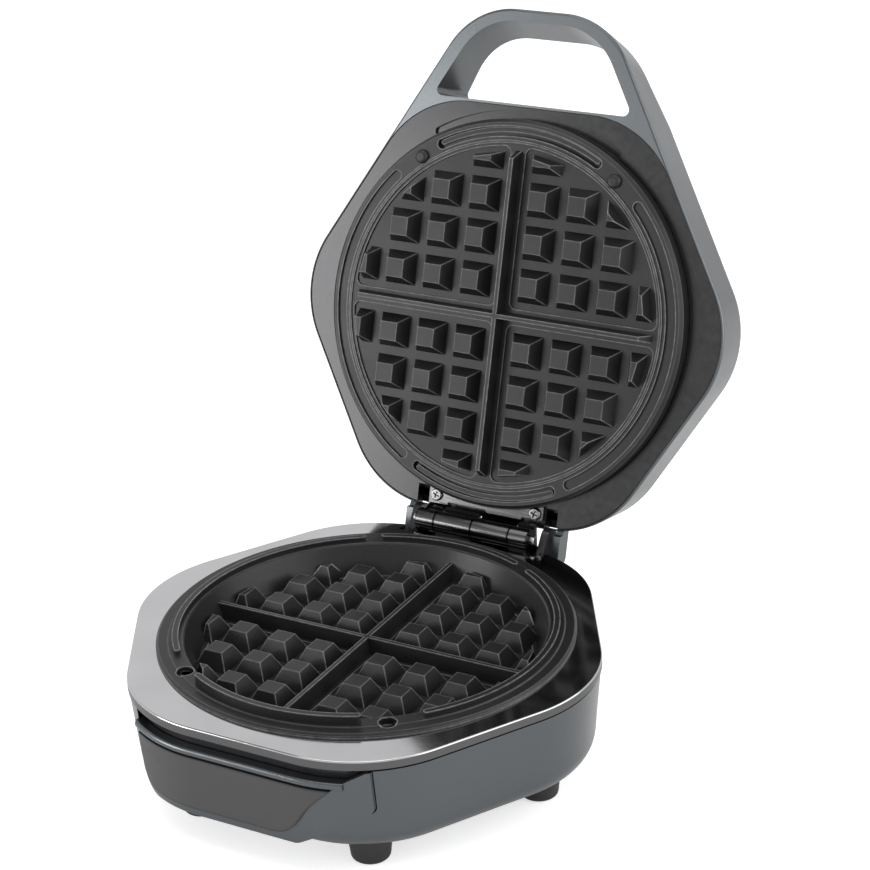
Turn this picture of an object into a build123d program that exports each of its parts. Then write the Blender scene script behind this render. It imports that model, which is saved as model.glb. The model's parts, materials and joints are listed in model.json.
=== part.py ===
from build123d import *
import math
import os

# Belgian waffle maker with a hexagonal body, in millimetres. The lid is modelled closed, in the place
# where it meets the base, and is then turned open about the hinge axis. +Z is up, the hinge is at +Y
# and the handle swings towards -Y. Until the last step, X and Y are measured from the plate centre.

# Waffle grid, the same on both plates.
CELL_PITCH = 24.0
CELL_WEB = 5.0
CELL_RIB_GAP = 8.7
CELL_DRAFT = 4.2
CELL_HEIGHT = 8.8
CELL_LIMIT_RADIUS = 91.5
CELL_EDGE_DRAFT = 1.4
CELL_ROOT = 0.5
CELL_CLIP_MIN = 1.0
CELL_SHARE_MIN = 0.25
CELLS_PER_ROW = 4
RIB_HEIGHT = 9.3
RIB_BASE_WIDTH = 4.6
RIB_TIP_WIDTH = 2.4
CROSS_HALF_WIDTH = 4.7
QUADRANT_DEPTH = 1.0
QUADRANT_CORNER = 4.0

# Lower plate, a round pan with a flat rim.
BODY_BOTTOM_Z = 17.0
PAN_FLOOR_Z = 59.2
PAN_FLOOR_RADIUS = 89.5
PAN_TOP_RADIUS = 96.0
PAN_DEPTH = 16.3
PLATE_THICKNESS = 3.5
RIM_RADIUS = 111.0
RIM_THICKNESS = 2.9
RIM_STEP_RADIUS = 104.6
RIM_STEP_DROP = 0.6
RIM_EDGE_ROUND = 1.2
SKIRT_OUTER_RADIUS = 106.0
SKIRT_THICKNESS = 3.5
SKIRT_DROP = 6.6
RIDGE_RADIUS = 100.6
RIDGE_WIDTH = 3.4
FRONT_RIDGE_HEIGHT = 4.6
SIDE_RIDGE_HEIGHT = 2.4
BACK_RIDGE_HEIGHT = 2.8
DOWEL_RADIUS_AT = 101.6
DOWEL_ANGLE = 36.0
DOWEL_HOLE_RADIUS = 4.6

# Upper plate.
CELL_TIP_GAP = 5.0
UPPER_PLATE_RADIUS = 109.5
UPPER_EDGE_BEVEL = 2.0
UPPER_SKIRT_DEPTH = 10.2
UPPER_QUADRANT_RADIUS = 94.5
BEAD_RADIUS = 97.0
BEAD_WIDTH = 1.6
BEAD_HEIGHT = 0.7
GROOVE_RADIUS = 102.6
GROOVE_WIDTH = 5.6
DEEP_GROOVE = 3.2
SHALLOW_GROOVE = 1.3
GROOVE_BAR_RADIUS = 1.5
BOSS_RADIUS = 4.0
BOSS_HEIGHT = 2.6

# Arcs shared by the ridges below and the grooves above: centre direction and half angle.
FRONT_ARC = (-90.0, 29.5)
LEFT_ARC = (172.0, 52.5)
RIGHT_ARC = (8.0, 52.5)
BACK_ARC = (90.0, 26.0)
RIDGE_END_CLEARANCE = 1.5

# Hexagonal body, flats at the front and back.
HEX_CENTRE_Y = -2.0
BODY_APOTHEM = 122.0
BODY_CORNER = 70.0
BODY_TAPER = 5.0
BODY_WALL = 2.5
BODY_BOTTOM_ROUND = 14.0
SHELL_TOP_Z = 66.4
BOTTOM_LEDGE = 29.0
COVER_LAP = 7.0
COVER_CORNER = 56.0
COVER_THICKNESS = 1.6
COVER_SCREW_RADIUS = 2.0
COLUMN_RADIUS = 4.5
COLUMN_INSIDE_SKIRT = 1.0
CORNER_COUNT = 6

# Feet under the six corners.
FOOT_INSET = 21.0
FOOT_TOP_RADIUS = 12.0
FOOT_BOTTOM_RADIUS = 10.0
FOOT_EDGE_ROUND = 2.5

# Steel bezel with a rolled lip.
BEZEL_TOP_Z = 72.5
BEZEL_THICKNESS = 1.5
BEZEL_PROUD = 0.6
BEZEL_LIP = 4.9
BEZEL_ROUND = 0.8
BEZEL_OPENING_GAP = 1.2

# Black inner frame.
FRAME_GAP = 1.2
FRAME_WALL = 2.2
FRAME_SKIRT = 12.0
FRAME_PLATE = 2.0
SHELF_THICKNESS = 2.0
SHELF_INNER_RADIUS = 99.0
PLATE_SEAT_GAP = 0.4
REFLECTOR_SHEET = 0.8

# Front fascia and its panel.
FASCIA_PROUD = 1.6
FASCIA_SEAM = 0.35
FASCIA_LEFT_X = -70.0
FASCIA_RIGHT_X = 68.0
FASCIA_TOP_Z = 60.8
FASCIA_BOTTOM_Z = 19.5
FASCIA_LIP_END_X = 56.0
FASCIA_RIGHT_BOTTOM_Z = 43.0
FASCIA_TURN_X = 28.0
FASCIA_CORNER = 4.5
LIP_PROUD = 3.2
LIP_HEIGHT = 4.0
PANEL_PROUD = 1.6
PANEL_SEAM = 0.6
PANEL_BOTTOM_Z = 24.5
PANEL_LEFT_X = -67.0
PANEL_RIGHT_X = 50.0
PANEL_SWEEP_X = 16.0
PANEL_CORNER = 12.0

# Hinge across the back.
HINGE_OUT = 2.0
HINGE_Z = 77.0
OPEN_ANGLE = 107.0
BARREL_RADIUS = 6.0
PIN_RADIUS = 2.5
PIN_PROUD = 3.05
PIN_END_ROUND = 0.9
PIN_FIT = 0.02
PIN_RUNNING = 0.06
KNUCKLE_GAP = 0.5
KNUCKLE_FOOT = 4.5
SHORT_KNUCKLE = 11.5
LONG_KNUCKLE = 23.1
LEAF_THICKNESS = 1.6
LEAF_PROUD = 3.25
TOWER_GAP = 3.55
TOWER_WIDTH = 4.4
TOWER_FRONT_AT = (-2.2, -11.0)
TOWER_CREST_AT = (9.5, 5.0)
TOWER_BACK_AT = (17.6, 0.5)
TOWER_ROUND = 6.0
TOWER_BACK_ROUND = 2.5
TOWER_SIDE_GAP = 1.5
BLOCK_HALF_DEPTH = 10.0
BLOCK_DROP = 29.0
LEAF_DROP = 2.5
SWEEP_GAP = 3.9
LEDGE_DEPTH = 6.0
BACK_TAB_GAP = 0.8
BACK_TAB_RISE = 5.0
BACK_TAB_SIDE_GAP = 0.6
RIVET_HEAD_RADIUS = 1.9
RIVET_HEAD_HEIGHT = 1.0
RIVET_SHANK_RADIUS = 1.2
RIVET_OUT = 0.65
RIVET_FORWARD = 5.8

# Lid shell, trim and handle.
LID_RIM_Z = 89.5
TRIM_FACE_Z = 90.0
LID_DEPTH = 38.5
LID_SIDE_INSET = 1.0
LID_FLAT_INSET = 4.6
LID_CORNER = 59.0
LID_TAPER = 2.6
LID_WALL = 2.6
LID_TOP_ROUND = 9.0
TRIM_INSET = 1.7
TRIM_CORNER = 57.5
TRIM_SEAM = 0.4
TRIM_THICKNESS = 2.5
TRIM_PLATE_GAP = 0.7
HANDLE_LENGTH = 52.6
HANDLE_LEAN = 13.0
HANDLE_CORNER = 46.0
HANDLE_LEG = 8.5
HANDLE_BAR = 7.0
HANDLE_INNER_CORNER = 38.0
HANDLE_FOOT_CORNER = 3.5
HANDLE_EDGE_ROUND = 1.4
HANDLE_BAR_DEPTH = 21.5
HANDLE_SLOPE_INSET = 7.4
RECESS_WIDTH = 5.1
RECESS_DEPTH = 1.8
RECESS_HALF_ANGLE = 31.0
EAR_GAP = 0.3
EAR_WIDTH = 4.2
EAR_NEAR_Z = 86.5
EAR_FAR_Z = 97.5
EAR_TIP_REACH = 14.0
EAR_ROUND = 4.5
STOP_GAP = 0.3

# Lid hinge bracket and its screws.
BRACKET_PROUD = 1.25
BRACKET_EDGE_INSET = 0.6
BRACKET_STEP = 2.4
BRACKET_PLATE_GAP = 0.8
BRACKET_SCREW_X = 31.5
BRACKET_SCREW_INSET = 6.5
SCREW_HEAD_RADIUS = 3.6
SCREW_HEAD_HEIGHT = 1.6
SCREW_SHANK_RADIUS = 1.9
SCREW_LENGTH = 12.0
SCREW_FIT = 0.1
CROSS_LENGTH = 4.2
CROSS_WIDTH = 0.9
CROSS_DEPTH = 1.0

# Heating, sensing and wiring pieces inside the housings.
ELEMENT_RADIUS = 62.0
ELEMENT_TUBE = 3.2
ELEMENT_OPEN_ANGLE = 40.0
ELEMENT_GAP = 0.05
TERMINAL_LENGTH = 12.0
TERMINAL_RADIUS = 2.2
REFLECTOR_FLOOR_RADIUS = 93.0
LOWER_REFLECTOR_DROP = 19.5
UPPER_REFLECTOR_DROP = 13.0
PLATE_SCREW_COUNT = 4
PLATE_SCREW_START = 45.0
PLATE_SCREW_SHANK = 1.2
PLATE_SCREW_HEAD = 2.4
PLATE_SCREW_HEAD_HEIGHT = 1.6
THERMOSTAT_RADIUS = 8.0
THERMOSTAT_HEIGHT = 7.0
THERMOSTAT_AT = (22.0, 30.0)
FUSE_AT = (-24.0, 26.0)
FUSE_LENGTH = 22.0
FUSE_RADIUS = 2.6
TERMINAL_BLOCK_SIZE = (34.0, 16.0, 14.0)
TERMINAL_BLOCK_AT = (0.0, 88.0)
GLAND_AT_X = -34.0
GLAND_AT_Z = 34.0
GLAND_RADIUS = 7.0
GLAND_BORE = 3.6
GLAND_FLANGE = 9.5
GLAND_FLANGE_THICKNESS = 2.5
GLAND_LENGTH = 10.0

# Levels and radii that follow from the sizes above.
PAN_RIM_Z = PAN_FLOOR_Z + PAN_DEPTH
LOWER_BACK_Z = PAN_FLOOR_Z - PLATE_THICKNESS
CELL_BASE_HALF = (CELL_PITCH - CELL_WEB) / 2
CELL_TIP_HALF = CELL_BASE_HALF - CELL_DRAFT
CELL_FIRST = CELL_BASE_HALF + CELL_RIB_GAP
SKIRT_BOTTOM_Z = PAN_RIM_Z - RIM_THICKNESS - SKIRT_DROP
BEZEL_UNDER_Z = BEZEL_TOP_Z - BEZEL_THICKNESS
UPPER_PAD_Z = PAN_FLOOR_Z + 2 * CELL_HEIGHT + CELL_TIP_GAP
UPPER_FACE_Z = UPPER_PAD_Z - QUADRANT_DEPTH
UPPER_BACK_Z = UPPER_PAD_Z + PLATE_THICKNESS
UPPER_SEAT_Z = UPPER_FACE_Z + UPPER_SKIRT_DEPTH
LID_TOP_Z = LID_RIM_Z + LID_DEPTH
BARREL_HALF = SHORT_KNUCKLE + LONG_KNUCKLE + 1.5 * KNUCKLE_GAP
PIN_HALF_LENGTH = BARREL_HALF + PIN_PROUD
LEAF_HALF_WIDTH = BARREL_HALF + LEAF_PROUD
BRACKET_HALF_WIDTH = BARREL_HALF + BRACKET_PROUD
RIVET_X = BARREL_HALF + RIVET_OUT
TOWER_INNER_X = BARREL_HALF + TOWER_GAP
TOWER_OUTER_X = TOWER_INNER_X + TOWER_WIDTH
HINGE_Y = BODY_APOTHEM + HEX_CENTRE_Y + HINGE_OUT
RIVET_Y = HINGE_Y - RIVET_FORWARD
BLOCK_FRONT_Y = HINGE_Y - BLOCK_HALF_DEPTH
BLOCK_BACK_Y = HINGE_Y + BLOCK_HALF_DEPTH
BLOCK_BOTTOM_Z = HINGE_Z - BLOCK_DROP
BLOCK_TOP_Z = HINGE_Z - BARREL_RADIUS - LEAF_DROP
BACK_TAB_TOP_Z = HINGE_Z + BACK_TAB_RISE
TOWER_TOP_Z = HINGE_Z + TOWER_CREST_AT[1]
SWEEP_RADIUS = math.hypot(*TOWER_BACK_AT) + SWEEP_GAP
LID_APOTHEM = BODY_APOTHEM - LID_SIDE_INSET
LID_FLAT = BODY_APOTHEM - LID_FLAT_INSET
TRIM_APOTHEM = LID_APOTHEM - TRIM_INSET
TRIM_FLAT = LID_FLAT - TRIM_INSET
HANDLE_REACH = LID_FLAT + HANDLE_LENGTH
HANDLE_SLOPE_Y = HANDLE_SLOPE_INSET - LID_FLAT
RECESS_OUTER_RADIUS = UPPER_PLATE_RADIUS + RECESS_WIDTH
BRACKET_EDGE_Y = TRIM_FLAT - BRACKET_EDGE_INSET
BRACKET_SCREW_Y = TRIM_FLAT - BRACKET_SCREW_INSET
EAR_TIP_Y = HINGE_Y + EAR_TIP_REACH
FOOT_AT_RADIUS = BODY_APOTHEM - FOOT_INSET
COLUMN_AT_RADIUS = SKIRT_OUTER_RADIUS - COLUMN_INSIDE_SKIRT
BOTTOM_OPENING_APOTHEM = COLUMN_AT_RADIUS - BOTTOM_LEDGE
COVER_APOTHEM = BOTTOM_OPENING_APOTHEM + COVER_LAP
HINGE_AXIS = Axis((0, HINGE_Y, HINGE_Z), (1, 0, 0))
EAR_INNER_X = TOWER_OUTER_X + TOWER_SIDE_GAP + EAR_GAP
EAR_OUTER_X = EAR_INNER_X + EAR_WIDTH
CORNER_ANGLES = [360.0 / CORNER_COUNT * k for k in range(CORNER_COUNT)]


def polar(radius, angle):
    """Point at a radius and an angle in degrees from +X, as x and y."""
    return (radius * math.cos(math.radians(angle)), radius * math.sin(math.radians(angle)))


def hexagon(apothem, corner, z):
    """Hexagon with rounded corners on +-X and flats at the front and back."""
    sharp = RegularPolygon(apothem, CORNER_COUNT, major_radius=False)
    return Pos(0, HEX_CENTRE_Y, z) * fillet(sharp.vertices(), corner)


def lid_hexagon(apothem, flat, corner, z):
    """The lid's hexagon about the plate centre, its front and rear flats nearer than its sides."""
    sharp = lid_corners(apothem, flat, flat)
    return Pos(0, 0, z) * fillet(make_face(Polyline(sharp, close=True)).vertices(), corner)


def lid_corners(apothem, rear_flat, reach):
    """Sharp corners of the lid's outline: side lines at 30 degrees, cut at the rear and the front."""
    cos30 = math.cos(math.radians(30))
    side = apothem / cos30
    rear_half = (apothem - rear_flat / 2) / cos30
    front_half = (apothem - reach / 2) / cos30
    return [(side, 0), (rear_half, rear_flat), (-rear_half, rear_flat), (-side, 0),
            (-front_half, -reach), (front_half, -reach)]


def hexagon_prism(apothem, corner, z_low, z_high):
    """Straight prism on the rounded hexagon."""
    return extrude(hexagon(apothem, corner, z_low), z_high - z_low)


def body_block(offset, z_low, z_high):
    """Tapering body form, offset from the base shell's outer face."""
    inset = (SHELL_TOP_Z - z_high) * math.tan(math.radians(BODY_TAPER))
    top = hexagon(BODY_APOTHEM + offset - inset, BODY_CORNER + offset - inset, z_high)
    return extrude(top, z_low - z_high, taper=BODY_TAPER)


def rounded_body(offset, z_low, z_high, bottom_round):
    """Body form with its bottom edge rounded."""
    block = body_block(offset, z_low, z_high)
    return fillet(block.faces().sort_by(Axis.Z)[0].edges(), bottom_round)


def disc(radius, z_low, z_high, x=0.0, y=0.0):
    """Upright cylinder between two heights."""
    return Pos(x, y, (z_low + z_high) / 2) * Cylinder(radius, z_high - z_low)


def ring(inner, outer, z_low, z_high):
    """Upright ring between two radii and two heights."""
    return disc(outer, z_low, z_high) - disc(inner, z_low - 1, z_high + 1)


def box(x_low, x_high, y_low, y_high, z_low, z_high):
    """Box between two corners."""
    centre = Pos((x_low + x_high) / 2, (y_low + y_high) / 2, (z_low + z_high) / 2)
    return centre * Box(x_high - x_low, y_high - y_low, z_high - z_low)


def revolved(points):
    """Solid of revolution about Z from a closed outline of radius and height points."""
    outline = make_face(Polyline([(r, 0, z) for r, z in points], close=True))
    return revolve(outline, Axis.Z)


def bar_along_x(radius, x_low, x_high, y, z):
    """Cylinder along X."""
    return Pos((x_low + x_high) / 2, y, z) * Rot(0, 90, 0) * Cylinder(radius, x_high - x_low)


def profile_along_x(points, x_low, x_high):
    """Prism along X on an outline of y and z points."""
    outline = make_face(Polyline([(x_low, y, z) for y, z in points], close=True))
    return extrude(outline, amount=x_high - x_low, dir=(1, 0, 0))


def arc_band(radius, width, arc, z_low, z_high, end_trim=0.0):
    """Curved bar with round ends that follows a circle about Z."""
    centre, half = arc
    half = half - math.degrees((width / 2 + end_trim) / radius)
    wedge = arc_sector(radius, width, centre, half)
    ends = [Pos(*polar(radius, centre + side * half), 0) * Circle(width / 2) for side in (-1, 1)]
    outline = wedge + ends
    return Pos(0, 0, z_low) * extrude(outline, z_high - z_low)


def arc_sector(radius, width, centre, half):
    """Flat sector of a ring, centred on a direction."""
    inner, outer = radius - width / 2, radius + width / 2
    start, end = centre - half, centre + half
    outside = ThreePointArc(polar(outer, start), polar(outer, centre), polar(outer, end))
    inside = ThreePointArc(polar(inner, end), polar(inner, centre), polar(inner, start))
    sides = [Line(outside @ 1, inside @ 0), Line(inside @ 1, outside @ 0)]
    return make_face([outside, sides[0], inside, sides[1]])


def opened(shape):
    """Turn a piece of the closed lid to its open, resting place."""
    return shape.rotate(HINGE_AXIS, -OPEN_ANGLE)


def opened_point(y, z):
    """Where a point of the closed lid lies when the lid is open, as y and z."""
    turn = math.radians(-OPEN_ANGLE)
    dy, dz = y - HINGE_Y, z - HINGE_Z
    return (
        HINGE_Y + dy * math.cos(turn) - dz * math.sin(turn),
        HINGE_Z + dy * math.sin(turn) + dz * math.cos(turn),
    )


def inset_polygon(points, distances):
    """Move each edge of an anticlockwise polygon inwards by its own distance."""
    count = len(points)
    lines = []
    for i in range(count):
        (x0, y0), (x1, y1) = points[i], points[(i + 1) % count]
        length = math.hypot(x1 - x0, y1 - y0)
        normal = (-(y1 - y0) / length, (x1 - x0) / length)
        lines.append((normal, normal[0] * x0 + normal[1] * y0 + distances[i]))
    moved = []
    for i in range(count):
        (a, c), (b, d) = lines[i - 1], lines[i]
        det = a[0] * b[1] - a[1] * b[0]
        moved.append(((c * b[1] - d * a[1]) / det, (a[0] * d - b[0] * c) / det))
    return moved


def cell_outline(column, row):
    """Base outline of one grid cell in the first quadrant, cut by a chord where the plate's edge
    passes through it. Gives the points and each edge's draft, or nothing for a cell that is too small."""
    x = CELL_FIRST + (column - 1) * CELL_PITCH
    y = CELL_FIRST + (row - 1) * CELL_PITCH
    half, limit = CELL_BASE_HALF, CELL_LIMIT_RADIUS
    corners = [(x - half, y - half), (x + half, y - half), (x + half, y + half), (x - half, y + half)]
    draft = CELL_BASE_HALF - CELL_TIP_HALF
    if math.hypot(*corners[2]) < limit + CELL_CLIP_MIN:
        return corners, [draft] * 4
    if math.hypot(*corners[0]) > limit:
        return None
    points, drafts = [], []
    for i in range(4):
        here, there = corners[i], corners[(i + 1) % 4]
        inside, next_inside = math.hypot(*here) <= limit, math.hypot(*there) <= limit
        if inside:
            points.append(here)
            drafts.append(draft)
        if inside != next_inside:
            along = 0 if here[1] == there[1] else 1
            fixed = here[1 - along]
            crossing = math.sqrt(limit ** 2 - fixed ** 2)
            points.append((crossing, fixed) if along == 0 else (fixed, crossing))
            drafts.append(CELL_EDGE_DRAFT if inside else draft)
    width = max(px for px, _ in points) - min(px for px, _ in points)
    depth = max(py for _, py in points) - min(py for _, py in points)
    if width * depth < CELL_SHARE_MIN * (2 * half) ** 2 or not keeps_tip(points, drafts):
        return None
    return points, drafts


def keeps_tip(points, drafts):
    """Whether each edge of the drafted tip still runs the same way as the base edge under it."""
    tip = inset_polygon(points, drafts)
    for i in range(len(points)):
        (x0, y0), (x1, y1) = points[i - 1], points[i]
        (u0, v0), (u1, v1) = tip[i - 1], tip[i]
        if (x1 - x0) * (u1 - u0) + (y1 - y0) * (v1 - v0) <= 0:
            return False
    return True


def cells():
    """All pyramids of one plate, standing on z = 0 and pointing up."""
    quadrant = []
    for column in range(1, CELLS_PER_ROW + 1):
        for row in range(1, CELLS_PER_ROW + 1):
            found = cell_outline(column, row)
            if found is None:
                continue
            points, drafts = found
            root = [-d * CELL_ROOT / CELL_HEIGHT for d in drafts]
            low = Pos(0, 0, -CELL_ROOT) * make_face(Polyline(inset_polygon(points, root), close=True))
            high = Pos(0, 0, CELL_HEIGHT) * make_face(Polyline(inset_polygon(points, drafts), close=True))
            quadrant.append(loft([low, high], ruled=True))
    half = quadrant + [mirror(cell, about=Plane.YZ) for cell in quadrant]
    return half + [mirror(cell, about=Plane.XZ) for cell in half]


def cross_ribs(base_reach, tip_reach):
    """Two crossing ribs, standing on z = 0 and pointing up."""
    def rib(turn):
        low = Pos(0, 0, -CELL_ROOT) * Rectangle(2 * base_reach, RIB_BASE_WIDTH)
        high = Pos(0, 0, RIB_HEIGHT) * Rectangle(2 * tip_reach, RIB_TIP_WIDTH)
        return Rot(0, 0, turn) * loft([low, high], ruled=True)
    return rib(0) + rib(90)


def quadrant_pockets(radius, depth):
    """Four shallow quadrant pockets with rounded corners, cut down from z = 0."""
    pockets = []
    corner = polar(radius, math.degrees(math.asin(CROSS_HALF_WIDTH / radius)))
    middle = polar(radius, 45)
    arc = ThreePointArc(corner, middle, (corner[1], corner[0]))
    inner = (CROSS_HALF_WIDTH, CROSS_HALF_WIDTH)
    face = make_face([arc, Line(arc @ 1, inner), Line(inner, arc @ 0)])
    face = fillet(face.vertices(), QUADRANT_CORNER)
    for turn in (0, 90, 180, 270):
        pockets.append(Rot(0, 0, turn) * Pos(0, 0, -depth) * extrude(face, depth + 1))
    return pockets


def plate_screw_places():
    """Places of the screws that hold each plate, in the middle of its skirt."""
    radius = SKIRT_OUTER_RADIUS - SKIRT_THICKNESS / 2
    step = 360.0 / PLATE_SCREW_COUNT
    return [polar(radius, PLATE_SCREW_START + step * k) for k in range(PLATE_SCREW_COUNT)]


def plate_screws(seat_z, depth, upward, extra=0.0):
    """Screws whose heads lie on a seat and whose shanks run into the plate's skirt."""
    side = 1 if upward else -1
    screws = []
    for x, y in plate_screw_places():
        shank = disc(PLATE_SCREW_SHANK + extra, *sorted((seat_z, seat_z + side * depth)), x, y)
        head_far = seat_z - side * PLATE_SCREW_HEAD_HEIGHT
        screws.append(shank + disc(PLATE_SCREW_HEAD + extra, *sorted((seat_z, head_far)), x, y))
    return screws


def make_lower_plate():
    rim_low = PAN_RIM_Z - RIM_THICKNESS
    wall_slope = (PAN_TOP_RADIUS - PAN_FLOOR_RADIUS) / PAN_DEPTH
    back_radius = PAN_FLOOR_RADIUS + PLATE_THICKNESS * (1 - wall_slope) - 0.5
    neck_radius = PAN_TOP_RADIUS + PLATE_THICKNESS - RIM_THICKNESS * wall_slope
    step_z = PAN_RIM_Z - RIM_STEP_DROP
    skirt_inner = SKIRT_OUTER_RADIUS - SKIRT_THICKNESS
    plate = revolved([
        (0, LOWER_BACK_Z),
        (back_radius, LOWER_BACK_Z),
        (neck_radius, rim_low),
        (skirt_inner, rim_low),
        (skirt_inner, SKIRT_BOTTOM_Z),
        (SKIRT_OUTER_RADIUS, SKIRT_BOTTOM_Z),
        (SKIRT_OUTER_RADIUS, rim_low),
        (RIM_RADIUS, rim_low),
        (RIM_RADIUS, step_z - RIM_EDGE_ROUND),
        (RIM_RADIUS - RIM_EDGE_ROUND, step_z),
        (RIM_STEP_RADIUS + RIM_STEP_DROP, step_z),
        (RIM_STEP_RADIUS, PAN_RIM_Z),
        (PAN_TOP_RADIUS + 0.8, PAN_RIM_Z),
        (PAN_TOP_RADIUS, PAN_RIM_Z - 0.8),
        (PAN_FLOOR_RADIUS, PAN_FLOOR_Z),
        (0, PAN_FLOOR_Z),
    ])
    place = Pos(0, 0, PAN_FLOOR_Z)
    pocket_radius = PAN_FLOOR_RADIUS - 2.5
    plate -= [place * pocket for pocket in quadrant_pockets(pocket_radius, QUADRANT_DEPTH / 2)]
    wall_end = PAN_FLOOR_RADIUS + wall_slope * RIB_HEIGHT
    plate += place * cross_ribs(PAN_FLOOR_RADIUS + 0.7, wall_end + 0.7)
    plate += [place * cell for cell in cells()]
    for arc, height in (
        (FRONT_ARC, FRONT_RIDGE_HEIGHT),
        (LEFT_ARC, SIDE_RIDGE_HEIGHT),
        (RIGHT_ARC, SIDE_RIDGE_HEIGHT),
        (BACK_ARC, BACK_RIDGE_HEIGHT),
    ):
        plate += arc_band(
            RIDGE_RADIUS, RIDGE_WIDTH, arc, PAN_RIM_Z - 0.5, PAN_RIM_Z + height, RIDGE_END_CLEARANCE
        )
    for side in (-1, 1):
        x, y = polar(DOWEL_RADIUS_AT, -90 + side * DOWEL_ANGLE)
        plate -= disc(DOWEL_HOLE_RADIUS, rim_low - 1, PAN_RIM_Z + 1, x, y)
    depth = SKIRT_DROP - 1.0
    return plate - plate_screws(SKIRT_BOTTOM_Z, depth, True, SCREW_FIT)


def make_upper_plate():
    skirt_inner = SKIRT_OUTER_RADIUS - SKIRT_THICKNESS
    plate = revolved([
        (0, UPPER_FACE_Z),
        (UPPER_PLATE_RADIUS - UPPER_EDGE_BEVEL, UPPER_FACE_Z),
        (UPPER_PLATE_RADIUS, UPPER_FACE_Z + UPPER_EDGE_BEVEL),
        (UPPER_PLATE_RADIUS, UPPER_SEAT_Z),
        (skirt_inner, UPPER_SEAT_Z),
        (skirt_inner, UPPER_BACK_Z),
        (0, UPPER_BACK_Z),
    ])
    upside_down = Pos(0, 0, UPPER_FACE_Z) * Rot(180, 0, 0)
    pads = Pos(0, 0, UPPER_PAD_Z) * Rot(180, 0, 0)
    plate -= [upside_down * pocket for pocket in quadrant_pockets(UPPER_QUADRANT_RADIUS, QUADRANT_DEPTH)]
    rib_reach = UPPER_QUADRANT_RADIUS - 1.5
    plate += pads * cross_ribs(rib_reach, rib_reach - 5.0)
    plate += [pads * cell for cell in cells()]
    for arc, depth in (
        (FRONT_ARC, DEEP_GROOVE),
        (LEFT_ARC, SHALLOW_GROOVE),
        (RIGHT_ARC, SHALLOW_GROOVE),
        (BACK_ARC, DEEP_GROOVE),
    ):
        plate -= arc_band(GROOVE_RADIUS, GROOVE_WIDTH, arc, UPPER_FACE_Z - 1, UPPER_FACE_Z + depth)
    for arc in (FRONT_ARC, BACK_ARC):
        floor = UPPER_FACE_Z + DEEP_GROOVE
        plate += arc_band(
            GROOVE_RADIUS + 0.9, 2 * GROOVE_BAR_RADIUS, arc, floor - GROOVE_BAR_RADIUS, floor + 0.5, 2.0
        )
    bead = ring(BEAD_RADIUS - BEAD_WIDTH / 2, BEAD_RADIUS + BEAD_WIDTH / 2,
                UPPER_FACE_Z - BEAD_HEIGHT, UPPER_FACE_Z + 0.5)
    plate += bead
    for side in (-1, 1):
        x, y = polar(DOWEL_RADIUS_AT, -90 + side * DOWEL_ANGLE)
        boss = disc(BOSS_RADIUS, UPPER_FACE_Z - BOSS_HEIGHT, UPPER_FACE_Z + 0.5, x, y)
        plate += fillet(boss.faces().sort_by(Axis.Z)[0].edges(), BOSS_HEIGHT * 0.8)
    depth = UPPER_SKIRT_DEPTH - UPPER_EDGE_BEVEL - 2.0
    return plate - plate_screws(UPPER_SEAT_Z, depth, False, SCREW_FIT)


def make_base_shell():
    outer = rounded_body(0, BODY_BOTTOM_Z, SHELL_TOP_Z, BODY_BOTTOM_ROUND)
    inner = rounded_body(-BODY_WALL, BODY_BOTTOM_Z + BODY_WALL, SHELL_TOP_Z + 1,
                         BODY_BOTTOM_ROUND - BODY_WALL)
    shell = outer - inner
    shell -= hexagon_prism(BOTTOM_OPENING_APOTHEM, COVER_CORNER, BODY_BOTTOM_Z - 1,
                           BODY_BOTTOM_Z + BODY_WALL + 1)
    shell -= fascia_outline(FASCIA_SEAM)
    shell -= cover_screws(SCREW_FIT)
    block_half = TOWER_OUTER_X + FASCIA_SEAM
    shell -= box(-block_half, block_half, BLOCK_FRONT_Y - 5, BLOCK_BACK_Y,
                 BLOCK_BOTTOM_Z - FASCIA_SEAM, SHELL_TOP_Z + 1)
    shell -= gland_barrel(GLAND_RADIUS + SCREW_FIT, GLAND_LENGTH, GLAND_LENGTH)
    floor = BODY_BOTTOM_Z + BODY_WALL
    for angle in CORNER_ANGLES:
        x, y = polar(COLUMN_AT_RADIUS, angle)
        y = y + HEX_CENTRE_Y
        shell += disc(COLUMN_RADIUS, floor - 0.5, shelf_bottom(), x, y)
        shell -= disc(PLATE_SCREW_HEAD + SCREW_FIT, BODY_BOTTOM_Z - 1, floor + 2, x, y)
    return shell - frame_screws(SCREW_FIT)


def shelf_bottom():
    """Height of the underside of the frame's shelf, which the lower plate's skirt hangs down to."""
    return SKIRT_BOTTOM_Z - REFLECTOR_SHEET - SHELF_THICKNESS


def frame_screws(extra=0.0):
    """Screws through the bottom of the shell, up its columns and into the frame."""
    screws = []
    low = BODY_BOTTOM_Z + BODY_WALL + 2
    for angle in CORNER_ANGLES:
        x, y = polar(COLUMN_AT_RADIUS, angle)
        y = y + HEX_CENTRE_Y
        shank = disc(PLATE_SCREW_SHANK + extra, low, shelf_bottom() + 1, x, y)
        head = disc(PLATE_SCREW_HEAD + extra, low - PLATE_SCREW_HEAD_HEIGHT, low, x, y)
        screws.append(shank + head)
    return screws


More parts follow.
